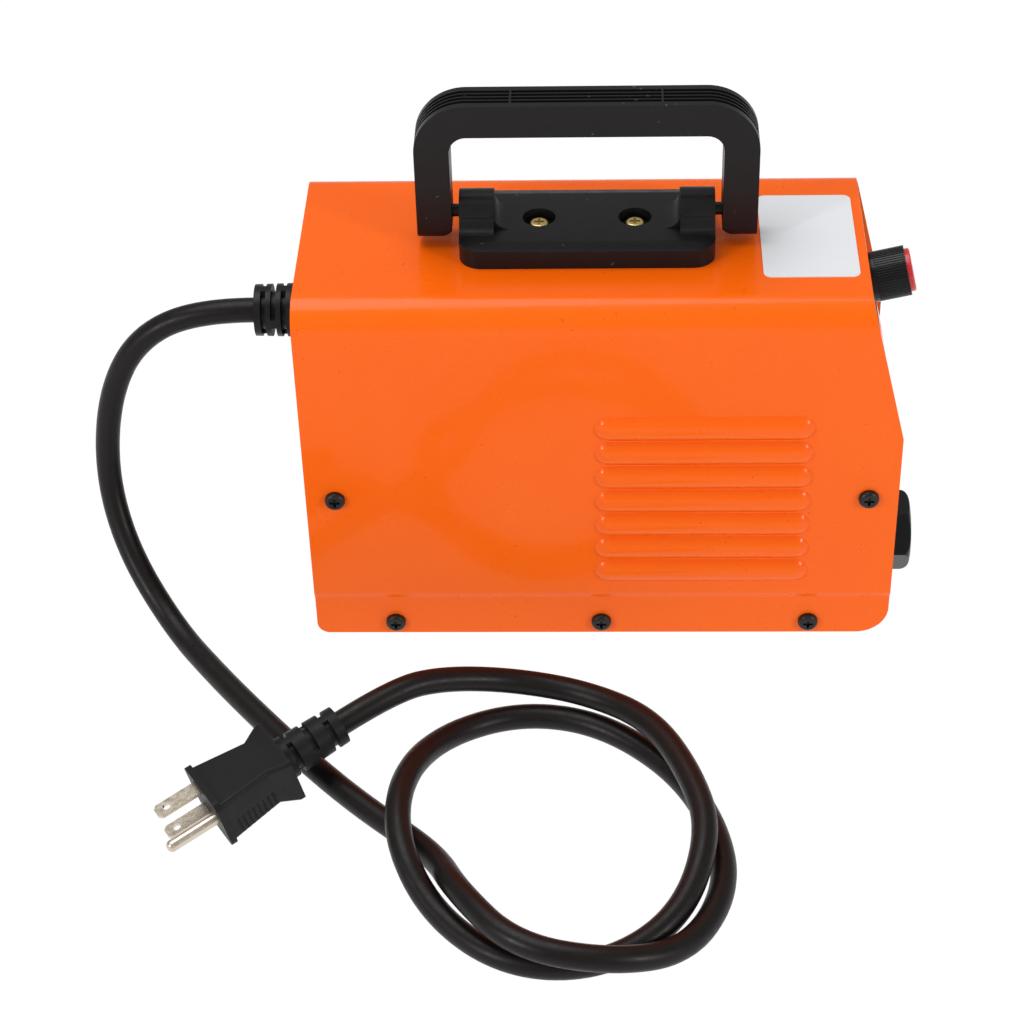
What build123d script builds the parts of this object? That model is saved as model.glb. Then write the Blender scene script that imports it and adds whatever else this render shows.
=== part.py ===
from build123d import *
import math
import os

os.makedirs("parts", exist_ok=True)

# Stick welding inverter. +X points out of the front panel, +Z is up, and Z = 0 is the
# surface the feet stand on. The origin is under the middle of the machine's own box.

# ---------------------------------------------------------------- driving dimensions, mm
body_length = 230.0
body_width = 100.0
cover_height = 158.0
foot_height = 8.0
cover_sheet = 1.2
cover_bend = 11.5
strip_height = 18.8
strip_step = 1.5
joggle_height = 3.0
front_knee_height = 98.2
front_slope_back = 14.4
front_corner = 12.5
rear_corner = 5.0
panel_recess = 3.0
panel_sheet = 1.5
panel_gap = 0.35
flange_sheet = 1.2

louvre_count = 7
louvre_pitch = 11.66
louvre_length = 84.0
louvre_height = 11.0
louvre_round = 6.8
louvre_slot = 1.0
louvre_centre_from_rear = 154.5
lowest_louvre_base = 28.4

side_screw_height = 70.0
side_screw_inset = 11.5
strip_screw_height = 6.0
strip_screw_pitch = 83.0
screw_d = 4.0
screw_hole_play = 0.4
screw_head_d = 7.9
screw_head_h = 2.5
screw_shank = 8.0
tapped_hole_play = 0.1

tray_sheet = 1.2
tray_floor_lift = 1.0
tray_flange_height = 15.0
tray_inset = 6.0
foot_d = 15.0
foot_top_d = 17.0
foot_inset_x = 30.0
foot_inset_y = 22.0
foot_pocket_d = 8.0
foot_pocket_depth = 3.5

handle_centre_from_rear = 110.0
handle_width = 128.5
handle_bar = 13.2
handle_depth = 14.9
handle_rise = 61.4
handle_outer_radius = 19.7
handle_leg_gap = 3.7
handle_leg_round = 4.5
handle_leg_chamfer = 4.0
handle_pivot_rise = 12.6
handle_groove_depth = 2.0
handle_groove_width = 1.7
handle_groove_pitch = 2.45
handle_groove_count = 4
handle_rib = 0.8
handle_rib_offset = 28.0
base_length = 96.5
base_depth = 43.5
base_edge_height = 7.7
base_crown_height = 9.1
base_crown_inset = 4.8
base_corner = 8.5
ear_width = 13.1
ear_radius = 8.3
ear_sweep = 5.0
ear_toe = 6.0
hinge_pin_d = 5.0
hinge_play = 0.05
base_screw_pitch = 36.4
base_screw_pocket_d = 12.6
base_screw_pocket_depth = 4.4
nut_across = 7.0
nut_height = 3.2

label_length = 36.0
label_width = 57.0
label_thickness = 0.3
label_corner = 3.0
label_centre_from_rear = 194.0

knob_d = 19.5
knob_height = 16.2
knob_standoff = 1.0
knob_slope_position = 42.0
knob_pocket_d = 14.0
knob_pocket_depth = 5.0
knob_skirt_chamfer = 1.2
knob_band = 3.0
knob_groove_d = 0.6
knob_groove_count = 60
knob_cap_d = 16.8
knob_cap_height = 2.0
pot_body_d = 16.5
pot_body_depth = 9.0
pot_bush_d = 7.0
pot_bush_length = 7.0
pot_shaft_d = 6.0
pot_shaft_play = 0.05
pot_shaft_reach = 14.0
pot_nut_across = 10.0
pot_nut_height = 2.0
scale_plate_length = 56.0
scale_plate_width = 74.0
scale_plate_thickness = 0.4
display_width = 24.0
display_height = 11.0
display_slope_position = 17.0
display_thickness = 1.6
lens_d = 4.0
lens_height = 1.4
lens_spacing = 52.0

socket_spacing = 46.0
socket_height = 32.3
socket_across_corners = 32.4
socket_collar_length = 11.6
socket_rim_round = 3.6
socket_mouth_d = 17.0
socket_mouth_depth = 6.0
socket_bore_d = 9.1
socket_bore_depth = 20.0
socket_contact_d = 15.0
socket_contact_length = 40.0
socket_key_width = 3.2
socket_key_depth = 2.2
socket_neck_d = 20.0
socket_nut_across = 24.0
socket_nut_height = 6.0

fan_size = 80.0
fan_depth = 20.0
fan_centre_height = 53.0
fan_duct_r = 38.0
fan_hole_pitch = 71.5
fan_hole_play = 0.3
fan_hub_r = 15.5
fan_blade_r = 36.3
fan_blade_chord = 17.0
fan_blade_thickness = 1.4
fan_blade_angle = 40.0
fan_blade_count = 7
fan_shaft_d = 3.0
fan_shaft_play = 0.05
fan_strut_width = 4.0
fan_strut_thickness = 3.0
fan_frame_air = 1.5
fan_cup_wall = 1.5
fan_bearing_r = 4.0
fan_bearing_length = 9.0
grille_hole_d = 5.0
grille_ring_pitch = 7.2
grille_rings = 4

switch_y = -20.0
switch_z = 103.0
bezel_length = 21.0
bezel_height = 15.0
bezel_thickness = 1.6
switch_body_length = 18.6
switch_body_height = 12.8
switch_body_depth = 16.0
rocker_length = 17.0
rocker_height = 10.6
rocker_gap = 0.35
rocker_rise = 6.0
rocker_tilt = 10.0
rocker_pivot_depth = 3.0
rocker_back = 2.2
rocker_dish = 1.3
trunnion_d = 2.0
trunnion_play = 0.05
trunnion_length = 0.5
switch_pocket_depth = 8.0
switch_terminal_pitch = 8.0
spade_width = 6.3
spade_thickness = 0.8
spade_length = 8.0

cord_d = 9.8
cord_last_run = 25.0
cord_height = 133.3
relief_base_d = 21.4
relief_tip_d = 20.2
relief_length = 22.6
relief_core_d = 14.8
relief_fin = 2.0
relief_fin_pitch = 4.0
relief_rib = 3.4
relief_neck_d = 16.0
relief_flange_d = 22.0
relief_flange_depth = 4.0

plug_front = (-151.5, -152.3, 12.4)
plug_heading = 32.9
plug_rise = 13.0
plug_face_width = 27.5
plug_face_height = 24.5
plug_flange = 2.6
plug_corner = 3.5
plug_edge_round = 1.8
plug_pin_shift = 0.95
plug_root_width = 25.5
plug_root_height = 20.6
plug_waist_from_face = 24.0
plug_waist_width = 20.0
plug_waist_height = 19.0
plug_wing_from_face = 31.0
plug_wing_width = 26.5
plug_wing_height = 22.0
plug_body_length = 33.0
plug_neck_length = 25.5
plug_neck_d = 17.0
plug_neck_tip_d = 15.4
plug_groove_depth = 1.6
plug_groove_width = 2.4
plug_groove_pitch = 8.0
plug_ring_count = 3
plug_ring_end = 4.0
plug_grip_depth = 0.8
plug_grip_pitch = 2.3
plug_grip_count = 8
plug_grip_start = 3.0
plug_grip_height = 9.0
blade_width = 6.35
blade_thickness = 1.5
blade_length = 17.8
blade_spacing = 12.7
blade_hole_d = 3.2
blade_hole_from_tip = 4.6
blade_root = 8.0
blade_tip_chamfer = 1.4
ground_pin_d = 4.76
ground_pin_root_d = 3.6
ground_pin_length = 21.4
ground_pin_round = 2.1
ground_pin_offset = 11.9

board_length = 158.0
board_width = 84.0
board_thickness = 1.6
board_lift = 7.0
board_from_rear = 28.0
standoff_d = 6.0
standoff_bore_d = 3.2
standoff_inset = 5.0
sink_length = 78.0
sink_height = 54.0
sink_web = 3.0
sink_web_y = 20.0
sink_fin = 1.8
sink_fin_reach = 20.0
sink_fin_count = 8
sink_from_board_end = 5.0
transistor_width = 15.8
transistor_height = 21.0
transistor_thickness = 5.0
transistor_lift = 4.0
transistor_pitch = 19.0
capacitor_count = 3
capacitor_d = 22.0
capacitor_height = 40.0
bridge_length = 30.0
bridge_thickness = 8.0
transformer_gap = 12.0
core_length = 26.0
core_width = 56.0
core_height = 48.0
core_leg = 16.0
core_window = 12.0
winding_build = 9.0
bobbin_flange = 3.0
choke_width = 12.0
choke_d = 40.0
choke_bore_d = 22.0
busbar_width = 12.0
busbar_sheet = 2.0
busbar_foot = 16.0
control_board_width = 64.0
control_board_height = 44.0
control_board_drop = 10.0

# ---------------------------------------------------------------- derived places
rocker_lean = math.radians(rocker_tilt)
rocker_top_half = math.sqrt((rocker_length / 2) ** 2 - rocker_rise**2)
rocker_back_half = math.sqrt((rocker_length / 2) ** 2 - rocker_back**2)
rocker_reach = rocker_rise * math.cos(rocker_lean) + rocker_top_half * math.sin(rocker_lean)
rear_reach = rocker_reach - rocker_pivot_depth - panel_recess
front_reach = socket_collar_length - panel_recess
rear_x = -0.5 * (body_length + front_reach - rear_reach)
front_x = rear_x + body_length
screw_hole_d = screw_d + screw_hole_play
tapped_hole_d = screw_d + tapped_hole_play
fan_hole_d = screw_d + fan_hole_play
base_z = foot_height
top_z = base_z + cover_height
half_width = 0.5 * body_width
strip_half = half_width - strip_step
inner_half = half_width - cover_sheet
strip_inner_half = strip_half - cover_sheet
knee_z = base_z + front_knee_height
slope_angle = math.atan2(front_slope_back, top_z - knee_z)
slope_length = math.hypot(front_slope_back, top_z - knee_z)
rear_face_x = rear_x + panel_recess
rear_inside_x = rear_face_x + panel_sheet
front_face_x = front_x - panel_recess
front_inside_x = front_face_x - panel_sheet
tray_floor_z = base_z + tray_floor_lift
tray_top_z = tray_floor_z + tray_sheet
handle_x = rear_x + handle_centre_from_rear
pivot_z = top_z + handle_pivot_rise
board_z = tray_top_z + board_lift
board_x = rear_x + board_from_rear + 0.5 * board_length
board_top_z = board_z + board_thickness

# The sloped part of the front panel: local x runs across the machine, local y runs up the
# slope from the knee, and local z points out of the panel.
slope_normal = (math.cos(slope_angle), 0, math.sin(slope_angle))
slope_origin = (
    front_x - panel_recess * math.cos(slope_angle),
    0,
    knee_z - panel_recess * math.sin(slope_angle),
)
slope_plane = Plane(origin=slope_origin, x_dir=(0, 1, 0), z_dir=slope_normal)
socket_z = base_z + socket_height
front_plane = Plane(origin=(front_face_x, 0, socket_z), x_dir=(0, 1, 0), z_dir=(1, 0, 0))
fan_plane = Plane(origin=(rear_inside_x, 0, fan_centre_height), x_dir=(0, 1, 0), z_dir=(1, 0, 0))
switch_plane = Plane(origin=(rear_face_x, switch_y, switch_z), x_dir=(0, -1, 0), z_dir=(-1, 0, 0))
cord_plane = Plane(origin=(rear_face_x, 0, cord_height), x_dir=(0, -1, 0), z_dir=(-1, 0, 0))
label_x = rear_x + label_centre_from_rear


# ---------------------------------------------------------------- shared shapes
def inside_outline(play):
    """The closed outline inside the cover, seen along X, shrunk by a clearance."""
    with BuildSketch() as outline:
        with BuildLine():
            Polyline(
                (-(strip_inner_half - play), tray_top_z + play),
                (-(strip_inner_half - play), base_z + strip_height - play),
                (-(inner_half - play), base_z + strip_height + joggle_height - play),
                (-(inner_half - play), top_z - cover_sheet - play),
                (inner_half - play, top_z - cover_sheet - play),
                (inner_half - play, base_z + strip_height + joggle_height - play),
                (strip_inner_half - play, base_z + strip_height - play),
                (strip_inner_half - play, tray_top_z + play),
                close=True,
            )
        make_face()
        fillet(outline.vertices().group_by(Axis.Y)[-1], radius=cover_bend - cover_sheet)
    return outline.sketch


def pan_head_screw(head_d, head_h, shank_d, shank_length):
    """A cross-recess pan-head screw: head on +Z, shank down from the origin."""
    with BuildPart() as screw:
        Cylinder(head_d / 2, head_h, align=(Align.CENTER, Align.CENTER, Align.MIN))
        fillet(screw.edges().group_by(Axis.Z)[-1], radius=head_h * 0.6)
        with BuildSketch(Plane.XY.offset(head_h)):
            Rectangle(head_d * 0.5, head_d * 0.13)
            Rectangle(head_d * 0.13, head_d * 0.5)
        extrude(amount=-head_h * 0.6, mode=Mode.SUBTRACT)
        Cylinder(shank_d / 2, shank_length, align=(Align.CENTER, Align.CENTER, Align.MAX))
    return screw.part


def hex_nut(across_flats, height, bore_d):
    """A nut standing on the origin, its bore along Z."""
    with BuildPart() as nut:
        with BuildSketch():
            RegularPolygon(radius=across_flats / 2, side_count=6, major_radius=False)
            Circle(bore_d / 2, mode=Mode.SUBTRACT)
        extrude(amount=height)
    return nut.part


def side_screw_points():
    """Screw centres on one side, as (x, z): two into the panels, three into the tray."""
    panel_z = base_z + side_screw_height
    strip_z = base_z + strip_screw_height
    middle_x = rear_x + 0.5 * body_length
    points = [(rear_x + side_screw_inset, panel_z), (front_x - side_screw_inset, panel_z)]
    for step in (-1, 0, 1):
        points.append((middle_x + step * strip_screw_pitch, strip_z))
    return points


def louvre_form(radius):
    """The round-ended bar a louvre is pressed over, lying along X with its centre at the origin."""
    with BuildPart() as form:
        Cylinder(radius, 2 * louvre_reach, rotation=(0, 90, 0))
        with Locations((-louvre_reach, 0, 0), (louvre_reach, 0, 0)):
            Sphere(radius)
    return form


# ---------------------------------------------------------------- cover and chassis
panel_outline = inside_outline(panel_gap)
louvre_reach = 0.5 * (louvre_length - louvre_height)
louvre_sink = math.sqrt(louvre_round**2 - (louvre_height / 2) ** 2)
louvre_hollow = louvre_form(louvre_round - cover_sheet).part
louvre_pressing = louvre_form(louvre_round)
with louvre_pressing:
    split(bisect_by=Plane.XZ.offset(louvre_sink - cover_sheet / 2), keep=Keep.TOP)
louvre_bulge = louvre_pressing.part

with BuildPart() as cover:
    wall_path_half = half_width - cover_sheet / 2
    strip_path_half = strip_half - cover_sheet / 2
    with BuildSketch(Plane.YZ.offset(rear_x)):
        with BuildLine() as wall_path:
            FilletPolyline(
                (-strip_path_half, base_z),
                (-strip_path_half, base_z + strip_height),
                (-wall_path_half, base_z + strip_height + joggle_height),
                (-wall_path_half, top_z - cover_sheet / 2),
                (0, top_z - cover_sheet / 2),
                radius=[1.2, 1.2, cover_bend - cover_sheet / 2],
            )
        trace(line_width=cover_sheet)
    extrude(amount=body_length)
    with BuildSketch(Plane.XZ) as side_outline:
        with BuildLine():
            Polyline(
                (rear_x, base_z),
                (front_x, base_z),
                (front_x, knee_z),
                (front_x - front_slope_back, top_z),
                (rear_x, top_z),
                close=True,
            )
        make_face()
        bottom_corners = side_outline.vertices().group_by(Axis.Y)[0].sort_by(Axis.X)
        fillet(bottom_corners[0], radius=rear_corner)
        bottom_corners = side_outline.vertices().group_by(Axis.Y)[0].sort_by(Axis.X)
        fillet(bottom_corners[-1], radius=front_corner)
    extrude(amount=body_width, both=True, mode=Mode.INTERSECT)
    louvre_x = rear_x + louvre_centre_from_rear
    for row in range(louvre_count):
        louvre_z = base_z + lowest_louvre_base + row * louvre_pitch + louvre_height / 2
        with Locations((louvre_x, louvre_sink - half_width, louvre_z)):
            add(louvre_bulge)
            add(louvre_hollow, mode=Mode.SUBTRACT)
        with BuildSketch(Plane.XZ.offset(half_width - cover_sheet)):
            with Locations((louvre_x, louvre_z - louvre_height / 2)):
                Rectangle(2 * louvre_reach, louvre_slot, align=(Align.CENTER, Align.MIN))
        extrude(amount=louvre_round, mode=Mode.SUBTRACT)
    for screw_x, screw_z in side_screw_points():
        with BuildSketch(Plane.XZ.offset(half_width)):
            with Locations((screw_x, screw_z)):
                Circle(screw_hole_d / 2)
        extrude(amount=-half_width / 2, mode=Mode.SUBTRACT)
    mirror(about=Plane.XZ)
    with BuildSketch(Plane.XY.offset(top_z)):
        with Locations((handle_x - base_screw_pitch / 2, 0), (handle_x + base_screw_pitch / 2, 0)):
            Circle(screw_hole_d / 2)
    extrude(amount=-2 * cover_sheet, mode=Mode.SUBTRACT)

tray_length = body_length - 2 * tray_inset
tray_half = strip_inner_half - panel_gap
foot_points = [
    (rear_x + body_length / 2 + sx * (body_length / 2 - foot_inset_x), sy * (half_width - foot_inset_y))
    for sx in (-1, 1)
    for sy in (-1, 1)
]
with BuildPart() as base_tray:
    with BuildSketch(Plane.YZ.offset(rear_x + tray_inset)):
        with BuildLine():
            FilletPolyline(
                (-(tray_half - tray_sheet / 2), tray_floor_z + tray_flange_height),
                (-(tray_half - tray_sheet / 2), tray_floor_z + tray_sheet / 2),
                (tray_half - tray_sheet / 2, tray_floor_z + tray_sheet / 2),
                (tray_half - tray_sheet / 2, tray_floor_z + tray_flange_height),
                radius=1.6,
            )
        trace(line_width=tray_sheet)
    extrude(amount=tray_length)
    for screw_x, screw_z in side_screw_points()[2:]:
        with BuildSketch(Plane.XZ):
            with Locations((screw_x, screw_z)):
                Circle(tapped_hole_d / 2)
        extrude(amount=body_width, both=True, mode=Mode.SUBTRACT)
    with BuildSketch(Plane.XY.offset(tray_floor_z)):
        with Locations(*foot_points):
            Circle(tapped_hole_d / 2)
    extrude(amount=tray_sheet, mode=Mode.SUBTRACT)

with BuildPart() as front_panel:
    slope_drop = panel_recess * math.tan(slope_angle / 2)
    slope_top_x = front_x - front_slope_back - panel_recess / math.cos(slope_angle)
    with BuildSketch(Plane.XZ):
        with BuildLine():
            Polyline(
                (front_face_x, tray_top_z),
                (front_face_x, knee_z - slope_drop),
                (slope_top_x, top_z),
                (slope_top_x - panel_sheet / math.cos(slope_angle), top_z),
                (front_inside_x, knee_z - slope_drop - panel_sheet * math.tan(slope_angle / 2)),
                (front_inside_x, tray_top_z),
                close=True,
            )
        make_face()
    extrude(amount=body_width, both=True)
    flange_length = side_screw_inset + 5
    with BuildSketch(Plane.XY.offset(base_z + side_screw_height - 12)):
        for side in (-1, 1):
            with Locations((front_inside_x, side * (inner_half - panel_gap - flange_sheet / 2))):
                Rectangle(flange_length, flange_sheet, align=(Align.MAX, Align.CENTER))
    extrude(amount=24)
    with BuildSketch(Plane.YZ.offset(front_x - 60)):
        add(panel_outline)
    extrude(amount=70, mode=Mode.INTERSECT)
    with BuildSketch(Plane.XZ):
        with Locations(side_screw_points()[1]):
            Circle(tapped_hole_d / 2)
    extrude(amount=body_width, both=True, mode=Mode.SUBTRACT)
    with BuildSketch(front_plane):
        with Locations((-socket_spacing / 2, 0), (socket_spacing / 2, 0)):
            Circle(socket_neck_d / 2)
    extrude(amount=-2 * panel_sheet, mode=Mode.SUBTRACT)
    with BuildSketch(slope_plane):
        with Locations((0, knob_slope_position)):
            Circle(pot_bush_d / 2)
        for side in (-1, 1):
            with Locations((side * lens_spacing / 2, display_slope_position)):
                Circle(lens_d / 2)
    extrude(amount=-2 * panel_sheet, mode=Mode.SUBTRACT)

with BuildPart() as rear_panel:
    with BuildSketch(Plane.YZ.offset(rear_face_x)):
        add(panel_outline)
    extrude(amount=panel_sheet)
    with BuildSketch(Plane.XY.offset(base_z + side_screw_height - 12)):
        for side in (-1, 1):
            with Locations((rear_inside_x, side * (inner_half - panel_gap - flange_sheet / 2))):
                Rectangle(flange_length, flange_sheet, align=(Align.MIN, Align.CENTER))
    extrude(amount=24)
    with BuildSketch(Plane.XZ):
        with Locations(side_screw_points()[0]):
            Circle(tapped_hole_d / 2)
    extrude(amount=body_width, both=True, mode=Mode.SUBTRACT)
    with BuildSketch(fan_plane):
        Circle(grille_hole_d / 2)
        for ring in range(1, grille_rings + 1):
            with PolarLocations(ring * grille_ring_pitch, 6 * ring):
                Circle(grille_hole_d / 2)
        with GridLocations(fan_hole_pitch, fan_hole_pitch, 2, 2):
            Circle(fan_hole_d / 2)
    extrude(amount=-2 * panel_sheet, mode=Mode.SUBTRACT)
    with BuildSketch(switch_plane):
        Rectangle(switch_body_length, switch_body_height)
    extrude(amount=-2 * panel_sheet, mode=Mode.SUBTRACT)
    with BuildSketch(cord_plane):
        Circle(relief_neck_d / 2)
    extrude(amount=-2 * panel_sheet, mode=Mode.SUBTRACT)

with BuildPart() as foot:
    with BuildSketch():
        Circle(foot_d / 2)
    with BuildSketch(Plane.XY.offset(tray_floor_z)):
        Circle(foot_top_d / 2)
    loft()
    with BuildSketch():
        Circle(foot_pocket_d / 2)
    extrude(amount=foot_pocket_depth, mode=Mode.SUBTRACT)
    with BuildSketch():
        Circle(screw_d / 2)
    extrude(amount=tray_floor_z, mode=Mode.SUBTRACT)

foot_screw_head_h = 2.2
foot_screw_head_d = 7.0
foot_screw = pan_head_screw(foot_screw_head_d, foot_screw_head_h, screw_d, tray_top_z - foot_pocket_depth)
with BuildPart() as rubber_feet:
    with Locations(*foot_points):
        add(foot.part)

with BuildPart() as foot_screws:
    for foot_x, foot_y in foot_points:
        with Locations(Plane(origin=(foot_x, foot_y, foot_pocket_depth), z_dir=(0, 0, -1)).location):
            add(foot_screw)

side_screw = pan_head_screw(screw_head_d, screw_head_h, screw_d, screw_shank)
with BuildPart() as cover_screws:
    for side in (-1, 1):
        for number, (screw_x, screw_z) in enumerate(side_screw_points()):
            face_y = half_width if number < 2 else strip_half
            seat = Plane(origin=(screw_x, side * face_y, screw_z), x_dir=(1, 0, 0), z_dir=(0, side, 0))
            with Locations(seat.location):
                add(side_screw)

with BuildPart() as top_label:
    with BuildSketch(Plane.XY.offset(top_z)):
        with Locations((label_x, 0)):
            RectangleRounded(label_length, label_width, label_corner)
    extrude(amount=label_thickness)

# ---------------------------------------------------------------- carrying handle
with BuildPart() as handle_base:
    with BuildSketch(Plane.XY.offset(top_z)):
        with Locations((handle_x, 0)):
            RectangleRounded(base_length, base_depth, base_corner)
    extrude(amount=base_edge_height)
    with BuildSketch(Plane.XY.offset(top_z + base_edge_height)):
        with Locations((handle_x, 0)):
            RectangleRounded(base_length, base_depth, base_corner)
    with BuildSketch(Plane.XY.offset(top_z + base_crown_height)):
        with Locations((handle_x, 0)):
            RectangleRounded(
                base_length - 2 * base_crown_inset,
                base_depth - 2 * base_crown_inset,
                base_corner - base_crown_inset,
            )
    loft()
    crown_z = top_z + base_crown_height
    for side in (-1, 1):
        ear_inner_x = handle_x + side * (base_length / 2 - ear_width)
        with BuildSketch(Plane.YZ.offset(ear_inner_x)):
            with BuildLine():
                Line((-ear_radius - ear_sweep, top_z + 1), (-ear_radius - ear_sweep, crown_z))
                RadiusArc(
                    (-ear_radius - ear_sweep, crown_z),
                    (-ear_radius, crown_z + ear_sweep),
                    -ear_sweep,
                )
                Line((-ear_radius, crown_z + ear_sweep), (-ear_radius, pivot_z))
                ThreePointArc((-ear_radius, pivot_z), (0, pivot_z + ear_radius), (ear_radius, pivot_z))
                Line((ear_radius, pivot_z), (ear_radius, crown_z + ear_sweep))
                RadiusArc(
                    (ear_radius, crown_z + ear_sweep),
                    (ear_radius + ear_sweep, crown_z),
                    -ear_sweep,
                )
                Line((ear_radius + ear_sweep, crown_z), (ear_radius + ear_sweep, top_z + 1))
                Line((ear_radius + ear_sweep, top_z + 1), (-ear_radius - ear_sweep, top_z + 1))
            make_face()
        extrude(amount=side * ear_width)
        with BuildSketch(Plane.XZ):
            with BuildLine():
                ThreePointArc(
                    (ear_inner_x, crown_z + ear_toe),
                    (ear_inner_x - side * 0.3 * ear_toe, crown_z + 0.3 * ear_toe),
                    (ear_inner_x - side * ear_toe, crown_z),
                )
                Polyline(
                    (ear_inner_x - side * ear_toe, crown_z),
                    (ear_inner_x - side * ear_toe, top_z + 1),
                    (ear_inner_x + side, top_z + 1),
                    (ear_inner_x + side, crown_z + ear_toe),
                    (ear_inner_x, crown_z + ear_toe),
                )
            make_face()
        extrude(amount=ear_radius, both=True)
        with BuildSketch(Plane.YZ.offset(ear_inner_x)):
            with Locations((0, pivot_z)):
                Circle(hinge_pin_d / 2)
        extrude(amount=side * ear_width, mode=Mode.SUBTRACT)
    base_screw_points = [(handle_x - base_screw_pitch / 2, 0), (handle_x + base_screw_pitch / 2, 0)]
    with BuildSketch(Plane.XY.offset(crown_z)):
        with Locations(*base_screw_points):
            Circle(base_screw_pocket_d / 2)
    extrude(amount=-base_screw_pocket_depth, mode=Mode.SUBTRACT)
    with BuildSketch(Plane.XY.offset(crown_z)):
        with Locations(*base_screw_points):
            Circle(screw_hole_d / 2)
    extrude(amount=-base_crown_height, mode=Mode.SUBTRACT)

base_screw_seat_z = crown_z - base_screw_pocket_depth
base_screw_reach = base_screw_seat_z - top_z + cover_sheet + nut_height
handle_screw = pan_head_screw(screw_head_d, screw_head_h, screw_d, base_screw_reach)
with BuildPart() as handle_screws:
    with Locations(*[(px, py, base_screw_seat_z) for px, py in base_screw_points]):
        add(handle_screw)

handle_nut = hex_nut(nut_across, nut_height, screw_d)
with BuildPart() as handle_nuts:
    with Locations(*[(px, py, top_z - cover_sheet - nut_height) for px, py in base_screw_points]):
        add(handle_nut)

handle_top_z = top_z + handle_rise
handle_foot_z = top_z + handle_leg_gap
with BuildPart() as carry_handle:
    with BuildSketch(Plane.XZ) as bail:
        with Locations((handle_x, (handle_top_z + handle_foot_z) / 2)):
            Rectangle(handle_width, handle_top_z - handle_foot_z)
        fillet(bail.vertices().group_by(Axis.Y)[-1], radius=handle_outer_radius)
        inner_radius = handle_outer_radius - handle_bar
        inner_top_z = handle_top_z - handle_bar
        with BuildSketch(mode=Mode.SUBTRACT) as window:
            with Locations((handle_x, inner_top_z / 2)):
                Rectangle(handle_width - 2 * handle_bar, inner_top_z)
            fillet(window.vertices().group_by(Axis.Y)[-1], radius=inner_radius)
    extrude(amount=handle_depth / 2, both=True)
    leg_ends = carry_handle.edges().filter_by(Axis.X).group_by(Axis.Z)[0]
    fillet(leg_ends, radius=handle_leg_round)
    for side in (-1, 1):
        leg_inner_x = handle_x + side * (handle_width / 2 - handle_bar)
        with BuildSketch(Plane.XZ):
            with BuildLine():
                Polyline(
                    (leg_inner_x, handle_foot_z + handle_leg_chamfer),
                    (leg_inner_x, handle_foot_z),
                    (leg_inner_x + side * handle_leg_chamfer, handle_foot_z),
                    close=True,
                )
            make_face()
        extrude(amount=handle_depth, both=True, mode=Mode.SUBTRACT)
    band_half = handle_width / 2 - handle_groove_depth
    band_top_z = handle_top_z - handle_groove_depth
    for groove in range(handle_groove_count):
        groove_y = (groove - (handle_groove_count - 1) / 2) * handle_groove_pitch
        with BuildSketch(Plane.XZ.offset(-groove_y)) as groove_band:
            with Locations((handle_x, (handle_top_z + pivot_z) / 2)):
                Rectangle(handle_width, handle_top_z - pivot_z)
            with BuildSketch(mode=Mode.SUBTRACT) as groove_floor:
                with Locations((handle_x, band_top_z / 2)):
                    Rectangle(2 * band_half, band_top_z)
                floor_radius = handle_outer_radius - handle_groove_depth
                fillet(groove_floor.vertices().group_by(Axis.Y)[-1], radius=floor_radius)
            for side in (-1, 1):
                with Locations((handle_x + side * handle_rib_offset, handle_top_z)):
                    Rectangle(handle_rib, 3 * handle_groove_depth, mode=Mode.SUBTRACT)
        extrude(amount=handle_groove_width / 2, both=True, mode=Mode.SUBTRACT)
    with BuildSketch(Plane.YZ.offset(handle_x - handle_width / 2 + handle_bar / 2)):
        with Locations((0, pivot_z)):
            Circle(hinge_pin_d / 2 + hinge_play)
    extrude(amount=handle_width - handle_bar, mode=Mode.SUBTRACT)

pin_length = handle_bar / 2 + (handle_width - base_length) / 2 - handle_bar + ear_width - 1
with BuildPart() as hinge_pins:
    for side in (-1, 1):
        pin_outer_x = handle_x + side * (handle_width / 2 - handle_bar / 2 - 0.5)
        with BuildSketch(Plane.YZ.offset(pin_outer_x)):
            with Locations((0, pivot_z)):
                Circle(hinge_pin_d / 2)
        extrude(amount=-side * pin_length)

# ---------------------------------------------------------------- front controls
with BuildPart() as scale_plate:
    with BuildSketch(slope_plane):
        with Locations((0, slope_length / 2 - 2)):
            RectangleRounded(scale_plate_width, scale_plate_length, label_corner)
        with Locations((0, knob_slope_position)):
            Circle(pot_nut_across * 0.6, mode=Mode.SUBTRACT)
        with Locations((0, display_slope_position)):
            Rectangle(display_width, display_height, mode=Mode.SUBTRACT)
        for side in (-1, 1):
            with Locations((side * lens_spacing / 2, display_slope_position)):
                Circle(lens_d / 2 + 0.1, mode=Mode.SUBTRACT)
    extrude(amount=scale_plate_thickness)

with BuildPart() as display_window:
    with BuildSketch(slope_plane):
        with Locations((0, display_slope_position)):
            Rectangle(display_width, display_height)
    extrude(amount=display_thickness)

with BuildPart() as indicator_lenses:
    with BuildSketch(slope_plane.offset(-panel_sheet)):
        for side in (-1, 1):
            with Locations((side * lens_spacing / 2, display_slope_position)):
                Circle(lens_d / 2)
    extrude(amount=panel_sheet + lens_height)
    fillet(indicator_lenses.edges().group_by(Axis(slope_origin, slope_normal))[-1], radius=lens_height / 2)

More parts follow.
